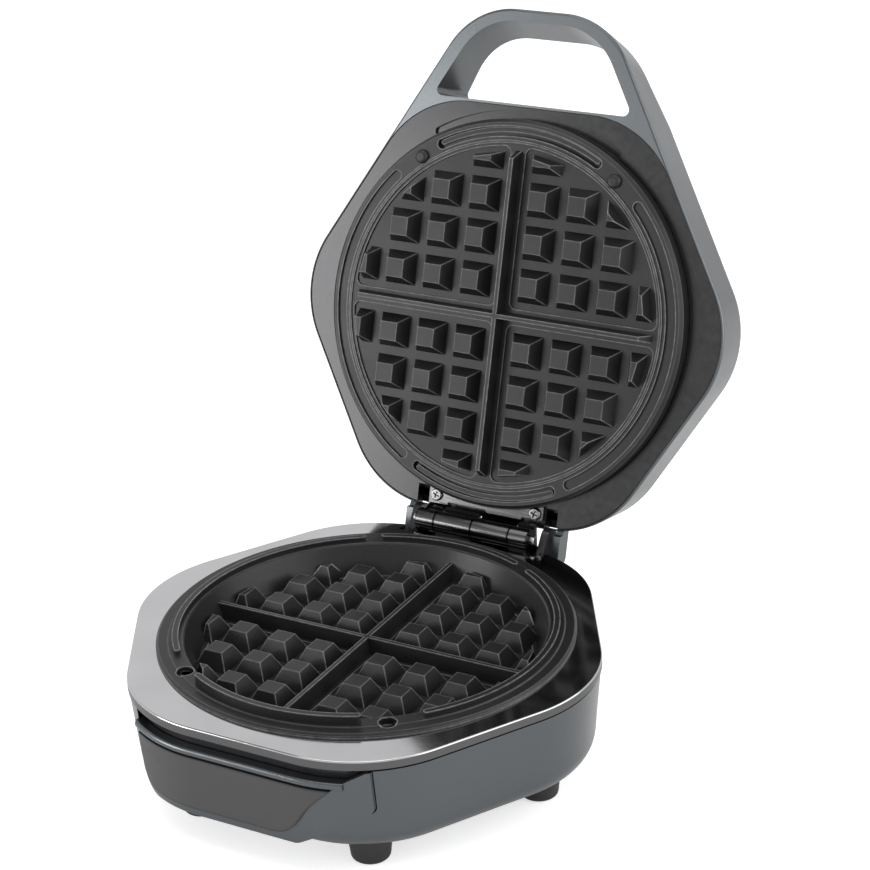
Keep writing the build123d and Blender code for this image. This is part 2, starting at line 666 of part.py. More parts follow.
def make_feet():
    feet = []
    body = rounded_body(0, BODY_BOTTOM_Z, SHELL_TOP_Z, BODY_BOTTOM_ROUND)
    height = BODY_BOTTOM_Z + BODY_BOTTOM_ROUND
    spread = FOOT_TOP_RADIUS - FOOT_BOTTOM_RADIUS
    top_radius = FOOT_BOTTOM_RADIUS + spread * height / BODY_BOTTOM_Z
    for angle in CORNER_ANGLES:
        x, y = polar(FOOT_AT_RADIUS, angle)
        cone = Cone(FOOT_BOTTOM_RADIUS, top_radius, height)
        cone = fillet(cone.edges().sort_by(Axis.Z)[0], FOOT_EDGE_ROUND)
        foot = Pos(x, y + HEX_CENTRE_Y, height / 2) * cone - body
        feet.append(foot.solids().sort_by(Axis.Z)[0])
    return Compound(children=feet)


def cover_screw_places():
    """Places of the cover's screws, between its edge and the shell's bottom opening."""
    radius = (BOTTOM_OPENING_APOTHEM + COVER_APOTHEM) / 2
    return [polar(radius, angle + 30) for angle in CORNER_ANGLES]


def cover_screws(extra=0.0):
    """Screws that hold the bottom cover to the shell."""
    low = BODY_BOTTOM_Z - COVER_THICKNESS
    screws = []
    for x, y in cover_screw_places():
        y = y + HEX_CENTRE_Y
        head = disc(COVER_SCREW_RADIUS * 1.5 + extra, low - 1.4, low, x, y)
        screws.append(head + disc(COVER_SCREW_RADIUS / 1.6 + extra, low, low + COVER_THICKNESS + 2, x, y))
    return screws


def make_bottom_cover():
    low = BODY_BOTTOM_Z - COVER_THICKNESS
    cover = hexagon_prism(COVER_APOTHEM, COVER_CORNER, low, BODY_BOTTOM_Z)
    slot = SlotOverall(36, 3)
    vents = []
    for row in range(-4, 5):
        for side in (-1, 1):
            vents.append(Pos(side * 28, HEX_CENTRE_Y + row * 8, low - 1) * extrude(slot, COVER_THICKNESS + 2))
    return cover - vents - cover_screws(SCREW_FIT)


def make_base_bezel():
    low = BEZEL_TOP_Z - BEZEL_LIP
    apothem = BODY_APOTHEM + BEZEL_PROUD
    corner = BODY_CORNER + BEZEL_PROUD
    block = hexagon_prism(apothem, corner, low, BEZEL_TOP_Z)
    block = fillet(block.faces().sort_by(Axis.Z)[-1].edges(), BEZEL_ROUND)
    inner = hexagon_prism(apothem - BEZEL_THICKNESS, corner - BEZEL_THICKNESS, low - 1, BEZEL_UNDER_Z)
    bezel = block - inner
    bezel -= disc(SKIRT_OUTER_RADIUS + BEZEL_OPENING_GAP, low, BEZEL_TOP_Z + 1)
    notch = TOWER_OUTER_X + FASCIA_SEAM
    return bezel - box(-notch, notch, BLOCK_FRONT_Y - FASCIA_SEAM, HINGE_Y + 30, low - 1, BEZEL_TOP_Z + 1)


def hinge_towers():
    """Block across the back with a tower at each end of the hinge and a ledge that stops each ear."""
    block = box(-TOWER_OUTER_X, TOWER_OUTER_X, BLOCK_FRONT_Y, BLOCK_BACK_Y, BLOCK_BOTTOM_Z, BLOCK_TOP_Z)
    block = chamfer(block.edges().filter_by(Axis.X).group_by(Axis.Z)[0].sort_by(Axis.Y)[-1], 6)
    corners = (TOWER_FRONT_AT, TOWER_CREST_AT, TOWER_BACK_AT)
    front, crest, back = [(HINGE_Y + y, HINGE_Z + z) for y, z in corners]
    foot_z = BLOCK_BOTTOM_Z + 4
    outline = [(front[0], foot_z), front, crest, back, (back[0], foot_z)]
    near = opened_point(EAR_TIP_Y + STOP_GAP, EAR_NEAR_Z - 1.0)
    far = opened_point(EAR_TIP_Y + STOP_GAP, EAR_FAR_Z + 1.0)
    ledge_outline = [near, far, (far[0], far[1] - LEDGE_DEPTH), (near[0], near[1] - LEDGE_DEPTH - 5)]
    towers = []
    for side in (-1, 1):
        low, high = sorted((side * TOWER_INNER_X, side * TOWER_OUTER_X))
        tower = profile_along_x(outline, low, high)
        across = tower.edges().filter_by(Axis.X).sort_by(Axis.Z)
        tower = fillet([across[-3], across[-1]], TOWER_ROUND)
        back = tower.edges().filter_by(Axis.X).group_by(Axis.Y)[-1].sort_by(Axis.Z)[-1]
        towers.append(fillet(back, TOWER_BACK_ROUND))
        low, high = sorted((side * (TOWER_INNER_X + 1), side * (EAR_OUTER_X - 0.4)))
        towers.append(profile_along_x(ledge_outline, low, high))
    spans = knuckle_spans()
    tab_y = HINGE_Y + BARREL_RADIUS + BACK_TAB_GAP
    for low, high in (spans[1], spans[3]):
        low, high = low + BACK_TAB_SIDE_GAP, high - BACK_TAB_SIDE_GAP
        towers.append(box(low, high, tab_y, BLOCK_BACK_Y, BLOCK_TOP_Z - 1, BACK_TAB_TOP_Z))
    return block + towers


def make_base_frame():
    outer = BODY_APOTHEM - BODY_WALL - FRAME_GAP
    corner = BODY_CORNER - BODY_WALL - FRAME_GAP
    low = BEZEL_UNDER_Z - FRAME_SKIRT
    wall = hexagon_prism(outer, corner, low, BEZEL_UNDER_Z)
    wall -= hexagon_prism(outer - FRAME_WALL, corner - FRAME_WALL, low - 1, BEZEL_UNDER_Z - FRAME_PLATE)
    well = SKIRT_OUTER_RADIUS + PLATE_SEAT_GAP
    wall -= disc(well, low - 2, BEZEL_UNDER_Z + 1)
    shelf_top = SKIRT_BOTTOM_Z - REFLECTOR_SHEET
    tube = ring(well, well + FRAME_WALL, shelf_bottom(), BEZEL_UNDER_Z - 0.5)
    shelf = ring(SHELF_INNER_RADIUS, well + FRAME_WALL, shelf_bottom(), shelf_top)
    frame = wall + tube + shelf + hinge_towers()
    frame -= disc(well, shelf_top, BEZEL_TOP_Z)
    barrel_back_y = HINGE_Y + BARREL_RADIUS
    frame -= box(-TOWER_INNER_X, TOWER_INNER_X, BLOCK_FRONT_Y, barrel_back_y, BLOCK_TOP_Z, TOWER_TOP_Z)
    frame -= leaf_rivets(SCREW_FIT)
    frame -= plate_screws(shelf_bottom(), SKIRT_DROP, True, SCREW_FIT)
    return frame - frame_screws(SCREW_FIT)


def fascia_outline(grow):
    """Prism through the front wall with the fascia's outline, seen from the front."""
    right, left = FASCIA_RIGHT_X + grow, FASCIA_LEFT_X - grow
    low, top = FASCIA_BOTTOM_Z - grow, SHELL_TOP_Z + 1
    points = [(left, top), (right, top), (right, FASCIA_RIGHT_BOTTOM_Z - grow), (FASCIA_TURN_X + grow, low),
              (left, low)]
    face = make_face(Polyline(points, close=True))
    by_height = face.vertices().sort_by(Axis.Y)
    right_corner = face.vertices().sort_by(Axis.X)[-2:].sort_by(Axis.Y)[0]
    left_corner = by_height[:2].sort_by(Axis.X)[0]
    turn = by_height[:2].sort_by(Axis.X)[1]
    face = fillet([right_corner], FASCIA_CORNER)
    face = fillet([v for v in face.vertices() if v.center() == turn.center()], 2 * FASCIA_CORNER)
    face = fillet([v for v in face.vertices() if v.center() == left_corner.center()], PANEL_CORNER)
    return Pos(0, -80, 0) * Rot(90, 0, 0) * extrude(face, 70)


def make_fascia_body():
    low, high = FASCIA_BOTTOM_Z - 1, SHELL_TOP_Z
    wall = body_block(FASCIA_PROUD, low, high) - body_block(-BODY_WALL, low - 1, high + 1)
    lip_low = FASCIA_TOP_Z - LIP_HEIGHT
    lip = body_block(LIP_PROUD, lip_low, FASCIA_TOP_Z)
    lip_edges = lip.faces().sort_by(Axis.Z)[-1].edges() + lip.faces().sort_by(Axis.Z)[0].edges()
    lip = fillet(lip_edges, LIP_HEIGHT * 0.42)
    lip -= body_block(-BODY_WALL, lip_low - 1, FASCIA_TOP_Z + 1)
    lip &= box(FASCIA_LEFT_X, FASCIA_LIP_END_X, -150, -80, lip_low, FASCIA_TOP_Z)
    body = (wall + lip) & fascia_outline(0)
    return body - fascia_gap()


def fascia_gap():
    """Cutter for the gap over the lip, whose right end slants up to the top of the shell."""
    left, above = FASCIA_LEFT_X - 6, SHELL_TOP_Z + 1
    points = [(left, FASCIA_TOP_Z), (FASCIA_LIP_END_X, FASCIA_TOP_Z), (FASCIA_RIGHT_X, above), (left, above)]
    return Pos(0, -80, 0) * Rot(90, 0, 0) * extrude(make_face(Polyline(points, close=True)), 70)


def panel_outline():
    """Outline of the flat panel on the fascia, seen from the front."""
    top = FASCIA_TOP_Z - LIP_HEIGHT - PANEL_SEAM
    low = PANEL_BOTTOM_Z
    sweep = Spline([(PANEL_RIGHT_X, top), (36, 42), (PANEL_SWEEP_X, low)],
                   tangents=[(-0.5, -0.5), (-1, -0.1)])
    lines = [
        Line((PANEL_LEFT_X, top), (PANEL_RIGHT_X, top)),
        sweep,
        Line(sweep @ 1, (PANEL_LEFT_X + PANEL_CORNER, low)),
        RadiusArc((PANEL_LEFT_X + PANEL_CORNER, low), (PANEL_LEFT_X, low + PANEL_CORNER), PANEL_CORNER),
        Line((PANEL_LEFT_X, low + PANEL_CORNER), (PANEL_LEFT_X, top)),
    ]
    return Pos(0, -80, 0) * Rot(90, 0, 0) * extrude(make_face(lines), 70)


def make_fascia_panel():
    low, high = PANEL_BOTTOM_Z - 1, FASCIA_TOP_Z
    layer = body_block(FASCIA_PROUD + PANEL_PROUD, low, high) - body_block(FASCIA_PROUD, low - 1, high + 1)
    return layer & panel_outline()


def knuckle_spans():
    """Spans of the four knuckles along X: lid, base, lid, base."""
    spans, x = [], -BARREL_HALF
    for width in (SHORT_KNUCKLE, LONG_KNUCKLE, LONG_KNUCKLE, SHORT_KNUCKLE):
        spans.append((x, x + width))
        x += width + KNUCKLE_GAP
    return spans


def leaf_rivets(extra=0.0):
    """Two rivets through the front feet of the base hinge leaf."""
    top = BLOCK_TOP_Z + LEAF_THICKNESS
    rivets = []
    for side in (-1, 1):
        x, y = side * RIVET_X, RIVET_Y
        head = disc(RIVET_HEAD_RADIUS + extra, top, top + RIVET_HEAD_HEIGHT, x, y)
        shank = disc(RIVET_SHANK_RADIUS + extra, BLOCK_TOP_Z - 6, top, x, y)
        rivets.append(head + shank)
    return rivets


def make_base_hinge_leaf():
    top = BLOCK_TOP_Z + LEAF_THICKNESS
    back_y = HINGE_Y + BARREL_RADIUS + BACK_TAB_GAP / 2
    leaf = box(-LEAF_HALF_WIDTH, LEAF_HALF_WIDTH, BLOCK_FRONT_Y + 1, back_y, BLOCK_TOP_Z, top)
    spans = knuckle_spans()
    foot = [(HINGE_Y - KNUCKLE_FOOT, top - 0.5), (HINGE_Y + KNUCKLE_FOOT, top - 0.5),
            (HINGE_Y + 5.2, HINGE_Z), (HINGE_Y - 5.2, HINGE_Z)]
    for low, high in (spans[1], spans[3]):
        leaf += profile_along_x(foot, low, high)
        leaf += bar_along_x(BARREL_RADIUS, low, high, HINGE_Y, HINGE_Z)
    hole = bar_along_x(PIN_RADIUS + PIN_FIT, -BARREL_HALF - 1, BARREL_HALF + 1, HINGE_Y, HINGE_Z)
    return leaf - hole - leaf_rivets(SCREW_FIT)


def make_hinge_pin():
    pin = bar_along_x(PIN_RADIUS, -PIN_HALF_LENGTH, PIN_HALF_LENGTH, HINGE_Y, HINGE_Z)
    return fillet(pin.edges(), PIN_END_ROUND)


def bracket_screws(extra=0.0):
    """Two cross-head screws through the bracket and trim into the lid shell."""
    seat = TRIM_FACE_Z - LEAF_THICKNESS
    screws = []
    for side in (-1, 1):
        x, y = side * BRACKET_SCREW_X, BRACKET_SCREW_Y
        head = disc(SCREW_HEAD_RADIUS + extra, seat - SCREW_HEAD_HEIGHT, seat, x, y)
        if extra == 0.0:
            head = fillet(head.faces().sort_by(Axis.Z)[0].edges(), 0.9)
            floor = seat - SCREW_HEAD_HEIGHT + CROSS_DEPTH
            slot = box(-CROSS_LENGTH / 2, CROSS_LENGTH / 2, -CROSS_WIDTH / 2, CROSS_WIDTH / 2,
                       floor - 3, floor)
            head -= [Pos(x, y, 0) * Rot(0, 0, turn) * slot for turn in (20, 110)]
        screws.append(head + disc(SCREW_SHANK_RADIUS + extra, seat, seat + SCREW_LENGTH, x, y))
    return screws


def make_lid_hinge_bracket():
    face = TRIM_FACE_Z
    low = face - LEAF_THICKNESS
    plate = box(-BRACKET_HALF_WIDTH, BRACKET_HALF_WIDTH, BRACKET_EDGE_Y - 14, BRACKET_EDGE_Y, low, face)
    plate -= disc(UPPER_PLATE_RADIUS + BRACKET_PLATE_GAP, low - 1, face + 1)
    spans = knuckle_spans()
    step_y = BRACKET_EDGE_Y - BRACKET_STEP
    for x_low, x_high in (spans[1], spans[3]):
        plate -= box(x_low - KNUCKLE_GAP, x_high + 2, step_y, HINGE_Y, low - 1, face + 1)
    arm = [
        (BRACKET_EDGE_Y - 3, low),
        (BRACKET_EDGE_Y - 3, face),
        (BRACKET_EDGE_Y, face),
        (HINGE_Y + 3.8, HINGE_Z + 3.8),
        (HINGE_Y, HINGE_Z),
        (HINGE_Y - 3.4, HINGE_Z + 3.4),
        (BRACKET_EDGE_Y - 1, low),
    ]
    for x_low, x_high in (spans[0], spans[2]):
        plate += profile_along_x(arm, x_low, x_high)
        plate += bar_along_x(BARREL_RADIUS, x_low, x_high, HINGE_Y, HINGE_Z)
    hole = bar_along_x(PIN_RADIUS + PIN_RUNNING, -BARREL_HALF - 1, BARREL_HALF + 1, HINGE_Y, HINGE_Z)
    return plate - hole - bracket_screws(SCREW_FIT)


def lid_outline(apothem, flat, reach, corner, handle_corner, z):
    """Hexagon whose front flat is carried forward to make the handle."""
    face = Pos(0, 0, z) * make_face(Polyline(lid_corners(apothem, flat, reach), close=True))
    face = fillet(face.vertices().sort_by(Axis.Y)[2:], corner)
    return fillet(face.vertices().sort_by(Axis.Y)[:2], handle_corner)


def handle_opening(apothem, reach, bridge, z):
    """Grip opening between the handle's legs, its bar and the front flat of the lid."""
    cos30 = math.cos(math.radians(30))
    top_half = (apothem - reach / 2) / cos30
    low_half = (apothem - bridge / 2) / cos30
    points = [(-top_half, -reach), (top_half, -reach), (low_half, -bridge), (-low_half, -bridge)]
    face = Pos(0, 0, z) * make_face(Polyline(points, close=True))
    by_y = face.vertices().sort_by(Axis.Y)
    face = fillet(by_y[2:], HANDLE_FOOT_CORNER)
    return fillet(face.vertices().sort_by(Axis.Y)[:2], HANDLE_INNER_CORNER)


def make_handle_opening():
    """Tapering cutter through the lid for the grip opening."""
    grow = LID_TAPER / LID_DEPTH
    lean = HANDLE_LEAN / LID_DEPTH

    def section(z):
        height = z - LID_RIM_Z
        apothem = LID_APOTHEM - HANDLE_LEG - grow * height
        reach = HANDLE_REACH - HANDLE_BAR - lean * height
        return handle_opening(apothem, reach, LID_FLAT - grow * height, z)
    return loft([section(LID_RIM_Z - 1), section(LID_TOP_Z + 1)])


def handle_slope():
    """Wedge that takes the lid's back down towards the handle bar."""
    bar_z = LID_RIM_Z + HANDLE_BAR_DEPTH
    fall = (LID_TOP_Z - bar_z) / (HANDLE_SLOPE_Y + HANDLE_REACH)
    far_y = -HANDLE_REACH - 10
    low_z = bar_z - fall * 10
    above = LID_TOP_Z + 5
    outline = [(HANDLE_SLOPE_Y, LID_TOP_Z), (HANDLE_SLOPE_Y, above), (far_y, above), (far_y, low_z)]
    return profile_along_x(outline, -100, 100)


def ear_outline():
    """Side profile of the ears that hang behind the hinge when the lid is open, as y and z."""
    wall_y = LID_FLAT - LID_WALL + 0.8
    return [(wall_y, EAR_FAR_Z), (wall_y, LID_RIM_Z + 1.6), (LID_FLAT + 1.2, LID_RIM_Z + 0.4),
            (LID_FLAT + 1.8, EAR_NEAR_Z), (EAR_TIP_Y, EAR_NEAR_Z), (EAR_TIP_Y, EAR_FAR_Z)]


def make_lid_shell():
    low = lid_outline(LID_APOTHEM, LID_FLAT, HANDLE_REACH, LID_CORNER, HANDLE_CORNER, LID_RIM_Z)
    high = lid_outline(LID_APOTHEM - LID_TAPER, LID_FLAT - LID_TAPER, HANDLE_REACH - HANDLE_LEAN,
                       LID_CORNER - LID_TAPER, HANDLE_CORNER - LID_TAPER / 2, LID_TOP_Z)
    shell = loft([low, high]) - handle_slope()
    top_edges = [edge for edge in shell.edges()
                 if edge.center().Z > LID_RIM_Z + 1 and abs(edge.tangent_at(0.5).Z) < 0.5]
    shell = fillet(top_edges, LID_TOP_ROUND)
    shell = fillet(shell.faces().sort_by(Axis.Z)[0].edges(), HANDLE_EDGE_ROUND)
    shell -= make_handle_opening()
    pocket = extrude(lid_hexagon(TRIM_APOTHEM + TRIM_SEAM, TRIM_FLAT + TRIM_SEAM, TRIM_CORNER + TRIM_SEAM,
                                 LID_RIM_Z - 1), TRIM_FACE_Z + TRIM_THICKNESS - LID_RIM_Z + 1)
    top = LID_TOP_Z - LID_WALL
    inner, flat, corner = LID_APOTHEM - LID_WALL - 2.0, LID_FLAT - LID_WALL - 2.0, LID_CORNER - LID_WALL
    cavity = loft([
        lid_hexagon(inner, flat, corner, TRIM_FACE_Z + TRIM_THICKNESS),
        lid_hexagon(inner - LID_TAPER, flat - LID_TAPER, corner - LID_TAPER, top),
    ])
    cavity = fillet(cavity.faces().sort_by(Axis.Z)[-1].edges(), LID_TOP_ROUND - LID_WALL)
    shell = shell - pocket - cavity
    column_low = UPPER_SEAT_Z + REFLECTOR_SHEET + SHELF_THICKNESS
    for side in (-1, 1):
        x, y = side * BRACKET_SCREW_X, BRACKET_SCREW_Y
        shell += disc(COLUMN_RADIUS, column_low, top + 1, x, y)
    shell -= tower_sweeps()
    for low_x in (-EAR_OUTER_X, EAR_INNER_X):
        ear = profile_along_x(ear_outline(), low_x, low_x + EAR_WIDTH)
        tip = ear.edges().filter_by(Axis.X).group_by(Axis.Y)[-1]
        shell += fillet(tip, EAR_ROUND)
    return shell - bracket_screws(SCREW_FIT)


def tower_sweeps():
    """Slots in the lid that the hinge towers pass through as it opens."""
    slots = []
    for low_x in (-TOWER_OUTER_X, TOWER_INNER_X):
        span = (low_x - TOWER_SIDE_GAP, low_x + TOWER_WIDTH + TOWER_SIDE_GAP)
        slots.append(bar_along_x(SWEEP_RADIUS, *span, HINGE_Y, HINGE_Z))
    return slots


def make_lid_trim():
    back = TRIM_FACE_Z + TRIM_THICKNESS
    trim = extrude(lid_hexagon(TRIM_APOTHEM, TRIM_FLAT, TRIM_CORNER, TRIM_FACE_Z), TRIM_THICKNESS)
    opening = UPPER_PLATE_RADIUS + TRIM_PLATE_GAP
    shelf_low = UPPER_SEAT_Z + REFLECTOR_SHEET
    shelf_top = shelf_low + SHELF_THICKNESS
    trim += disc(opening + FRAME_WALL, back - 0.5, shelf_top)
    trim -= disc(opening, TRIM_FACE_Z - 1, shelf_low)
    trim -= disc(SHELF_INNER_RADIUS, TRIM_FACE_Z - 1, shelf_top + 1)
    recess_width = RECESS_OUTER_RADIUS - opening + 1
    recess = arc_band(RECESS_OUTER_RADIUS - recess_width / 2, recess_width, (-90, RECESS_HALF_ANGLE),
                      TRIM_FACE_Z - 1, TRIM_FACE_Z + RECESS_DEPTH)
    trim = trim - recess - tower_sweeps()
    trim -= plate_screws(shelf_top, REFLECTOR_SHEET + SHELF_THICKNESS + 4, False, SCREW_FIT)
    return trim - bracket_screws(SCREW_FIT)


def heating_element(tube_z, terminal_side):
    """Open ring of tube with two straight terminals at its ends, away from the plate."""
    start = 90 + ELEMENT_OPEN_ANGLE / 2
    sweep_angle = 360 - ELEMENT_OPEN_ANGLE
    section = Plane.XZ * Pos(ELEMENT_RADIUS, tube_z) * Circle(ELEMENT_TUBE)
    loop = Rot(0, 0, start) * revolve(section, Axis.Z, sweep_angle)
    inset = math.degrees(ELEMENT_TUBE / ELEMENT_RADIUS)
    for angle in (start + inset, start + sweep_angle - inset):
        x, y = polar(ELEMENT_RADIUS, angle)
        far = tube_z + terminal_side * TERMINAL_LENGTH
        loop += disc(TERMINAL_RADIUS, *sorted((tube_z, far)), x, y)
    return loop


def terminal_holes(z_low, z_high):
    """Clearance holes in a reflector for the element's terminals."""
    half = ELEMENT_OPEN_ANGLE / 2 + math.degrees(ELEMENT_TUBE / ELEMENT_RADIUS)
    return [disc(ELEMENT_TUBE, z_low, z_high, *polar(ELEMENT_RADIUS, 90 + side * half)) for side in (-1, 1)]


def reflector(seat_z, reach):
    """Thin dish behind the element, clamped by its flange under the plate's skirt."""
    far = seat_z + reach
    side = math.copysign(1, reach)
    sheet = REFLECTOR_SHEET * side
    flange = SKIRT_OUTER_RADIUS - 0.5
    neck = SHELF_INNER_RADIUS - 1.0
    return revolved([
        (0, far),
        (REFLECTOR_FLOOR_RADIUS, far),
        (neck, seat_z + sheet),
        (flange, seat_z + sheet),
        (flange, seat_z),
        (neck + 0.4 - REFLECTOR_SHEET, seat_z),
        (REFLECTOR_FLOOR_RADIUS - REFLECTOR_SHEET, far - sheet),
        (0, far - sheet),
    ])


def make_lower_reflector():
    far = SKIRT_BOTTOM_Z - LOWER_REFLECTOR_DROP
    dish = reflector(SKIRT_BOTTOM_Z, -LOWER_REFLECTOR_DROP) - terminal_holes(far - 1, far + 2)
    dish -= disc(THERMOSTAT_RADIUS + 1, 0, LOWER_BACK_Z, *THERMOSTAT_AT)
    return dish - plate_screws(shelf_bottom(), SKIRT_DROP, True, SCREW_FIT)


def make_upper_reflector():
    far = UPPER_SEAT_Z + UPPER_REFLECTOR_DROP
    dish = reflector(UPPER_SEAT_Z, UPPER_REFLECTOR_DROP) - terminal_holes(far - 2, far + 1)
    seat = UPPER_SEAT_Z + REFLECTOR_SHEET + SHELF_THICKNESS
    return dish - plate_screws(seat, REFLECTOR_SHEET + SHELF_THICKNESS + 4, False, SCREW_FIT)


def make_thermostat():
    top = LOWER_BACK_Z - ELEMENT_GAP
    x, y = THERMOSTAT_AT
    can = disc(THERMOSTAT_RADIUS, top - THERMOSTAT_HEIGHT, top, x, y)
    can += disc(THERMOSTAT_RADIUS * 0.6, top - THERMOSTAT_HEIGHT - 4, top - THERMOSTAT_HEIGHT + 1, x, y)
    return can


def make_thermal_fuse():
    x, y = FUSE_AT
    z = LOWER_BACK_Z - ELEMENT_GAP - FUSE_RADIUS
    return bar_along_x(FUSE_RADIUS, x - FUSE_LENGTH / 2, x + FUSE_LENGTH / 2, y, z)


def make_terminal_block():
    length, depth, height = TERMINAL_BLOCK_SIZE
    x, y = TERMINAL_BLOCK_AT
    floor = BODY_BOTTOM_Z + BODY_WALL
    block = box(x - length / 2, x + length / 2, y - depth / 2, y + depth / 2, floor, floor + height)
    wells = [disc(2.6, floor + height - 5, floor + height + 1, x + dx, y) for dx in (-10, 0, 10)]
    return chamfer(block.edges().filter_by(Axis.Z), 2) - wells


def gland_barrel(radius, inward, outward):
    """Cylinder square to the tapering back wall where the cord gland sits."""
    taper = math.radians(BODY_TAPER)
    wall_y = HEX_CENTRE_Y + BODY_APOTHEM - (SHELL_TOP_Z - GLAND_AT_Z) * math.tan(taper)
    wall = Plane((GLAND_AT_X, wall_y, GLAND_AT_Z), x_dir=(1, 0, 0),
                 z_dir=(0, math.cos(taper), -math.sin(taper)))
    return wall.location * Pos(0, 0, (outward - inward) / 2) * Cylinder(radius, inward + outward)


def make_cord_gland():
    barrel = gland_barrel(GLAND_RADIUS, GLAND_LENGTH, 1)
    flange = gland_barrel(GLAND_FLANGE, 0, GLAND_FLANGE_THICKNESS)
    return barrel + flange - gland_barrel(GLAND_BORE, 2 * GLAND_LENGTH, 2 * GLAND_LENGTH)


def together(shapes):
    """One node holding several separate solids."""
    return Compound(children=[solid for shape in shapes for solid in shape.solids()])


def make_base():
    """Every piece of the base, standing still."""
    return {
        "base_shell": make_base_shell(),
        "bottom_cover": make_bottom_cover(),
        "cover_screws": together(cover_screws()),
        "feet": make_feet(),
        "base_frame": make_base_frame(),
        "frame_screws": together(frame_screws()),
        "base_bezel": make_base_bezel(),
        "fascia_body": make_fascia_body(),
        "fascia_panel": make_fascia_panel(),
        "lower_plate": make_lower_plate(),
        "lower_element": heating_element(LOWER_BACK_Z - ELEMENT_GAP - ELEMENT_TUBE, -1),
        "lower_reflector": make_lower_reflector(),
        "lower_plate_screws": together(plate_screws(shelf_bottom(), SKIRT_DROP, True)),
        "thermostat": make_thermostat(),
        "thermal_fuse": make_thermal_fuse(),
        "terminal_block": make_terminal_block(),
        "cord_gland": make_cord_gland(),
        "base_hinge_leaf": make_base_hinge_leaf(),
        "leaf_rivets": together(leaf_rivets()),
        "hinge_pin": make_hinge_pin(),
    }


def make_lid():
    """Every piece that swings with the lid, in its closed place."""
    screw_seat = UPPER_SEAT_Z + REFLECTOR_SHEET + SHELF_THICKNESS
    return {
        "lid_shell": make_lid_shell(),
        "lid_trim": make_lid_trim(),
        "lid_hinge_bracket": make_lid_hinge_bracket(),
        "bracket_screws": together(bracket_screws()),
        "upper_plate": make_upper_plate(),
        "upper_element": heating_element(UPPER_BACK_Z + ELEMENT_GAP + ELEMENT_TUBE, 1),
        "upper_reflector": make_upper_reflector(),
        "upper_plate_screws": together(
            plate_screws(screw_seat, REFLECTOR_SHEET + SHELF_THICKNESS + 4, False)
        ),
    }


def main():
    pieces = make_base()
    for name, piece in make_lid().items():
        pieces[name] = opened(piece)
    whole = Compound(children=[Compound(children=piece.solids()) for piece in pieces.values()])
    limits = whole.bounding_box()
    shift_x = -(limits.min.X + limits.max.X) / 2
    shift_y = -(limits.min.Y + limits.max.Y) / 2
    print("shift", round(shift_x, 4), round(shift_y, 4), "size", limits.size)
    print("hinge axis y, z", round(HINGE_Y + shift_y, 4), HINGE_Z)
    os.makedirs("parts", exist_ok=True)
    for name, piece in pieces.items():
        export_step(Pos(shift_x, shift_y, -limits.min.Z) * piece, f"parts/{name}.step")


main()
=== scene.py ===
import json
import math

import bpy
from mathutils import Matrix, Vector


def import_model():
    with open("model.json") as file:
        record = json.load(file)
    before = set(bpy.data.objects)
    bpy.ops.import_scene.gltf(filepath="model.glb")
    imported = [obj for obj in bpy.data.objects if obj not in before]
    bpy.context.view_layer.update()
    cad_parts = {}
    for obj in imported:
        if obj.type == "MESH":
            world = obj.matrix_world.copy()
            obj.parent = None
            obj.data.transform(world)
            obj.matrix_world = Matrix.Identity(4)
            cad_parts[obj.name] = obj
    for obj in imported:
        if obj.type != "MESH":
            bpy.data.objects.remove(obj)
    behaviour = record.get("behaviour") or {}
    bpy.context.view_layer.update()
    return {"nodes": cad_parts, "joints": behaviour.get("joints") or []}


# Camera, measured from the hinge axis in metres, with angles in degrees.
CAMERA_FROM_HINGE = (0.594117, -1.086260, 0.609402)
CAMERA_AZIMUTH = 29.6037
CAMERA_ELEVATION = 23.9716
CAMERA_ROLL = -2.3369
CAMERA_REACH = 50.0
LENS_MM = 100.60
SENSOR_MM = 36.0

# World: strength of its light, its strength straight overhead seen in gloss, and the two heights
# of a direction, as a share of 1, between which it fades.
WORLD_FILL = 0.55
CEILING = 0.25
CEILING_FADE = (0.5, 0.85)

# Floor: radius and depth under the feet in metres, and its glow in gloss and for the camera.
FLOOR_RADIUS = 4.0
FLOOR_DROP = 0.0002
FLOOR_GREY = 0.80
FLOOR_GLOW = 0.08
FLOOR_GLOW_SEEN = 0.62

# What the lamps face, in metres.
LAMP_TARGET = (0.0, 0.0, 0.15)

# Height in metres where the steel bezel's lip turns into its top, and the turn's own height.
BEZEL_LIP_TOP = 0.0719
BEZEL_LIP_TURN = 0.0003

# Reach in metres and colour of the lighter edges, which are partly wear and partly a painted
# highlight.
EDGE_REACH = 0.0008
WORN_AND_HIGHLIT_EDGE = (0.25, 0.25, 0.252)

# Reach in metres and colour of the painted shade in seams, recesses and inner corners.
SEAM_REACH = 0.0025
PAINTED_SHADE = (0.012, 0.012, 0.013)

# Rays for each occlusion mask, and the shares of open sky that its ends stand for.
MASK_RAYS = 8
EDGE_MASK = (0.55, 0.95)
SEAM_MASK = (0.35, 0.75)

# Where nearly all values of a noise texture lie.
NOISE_SPAN = (0.3, 0.7)


# Shader helpers

def new_material(name):
    """An empty node material, its tree and its principled shader."""
    material = bpy.data.materials.new(name)
    material.use_nodes = True
    shader = material.node_tree.nodes["Principled BSDF"]
    return material, material.node_tree, shader


def object_coordinates(tree):
    return tree.nodes.new("ShaderNodeTexCoord").outputs["Object"]


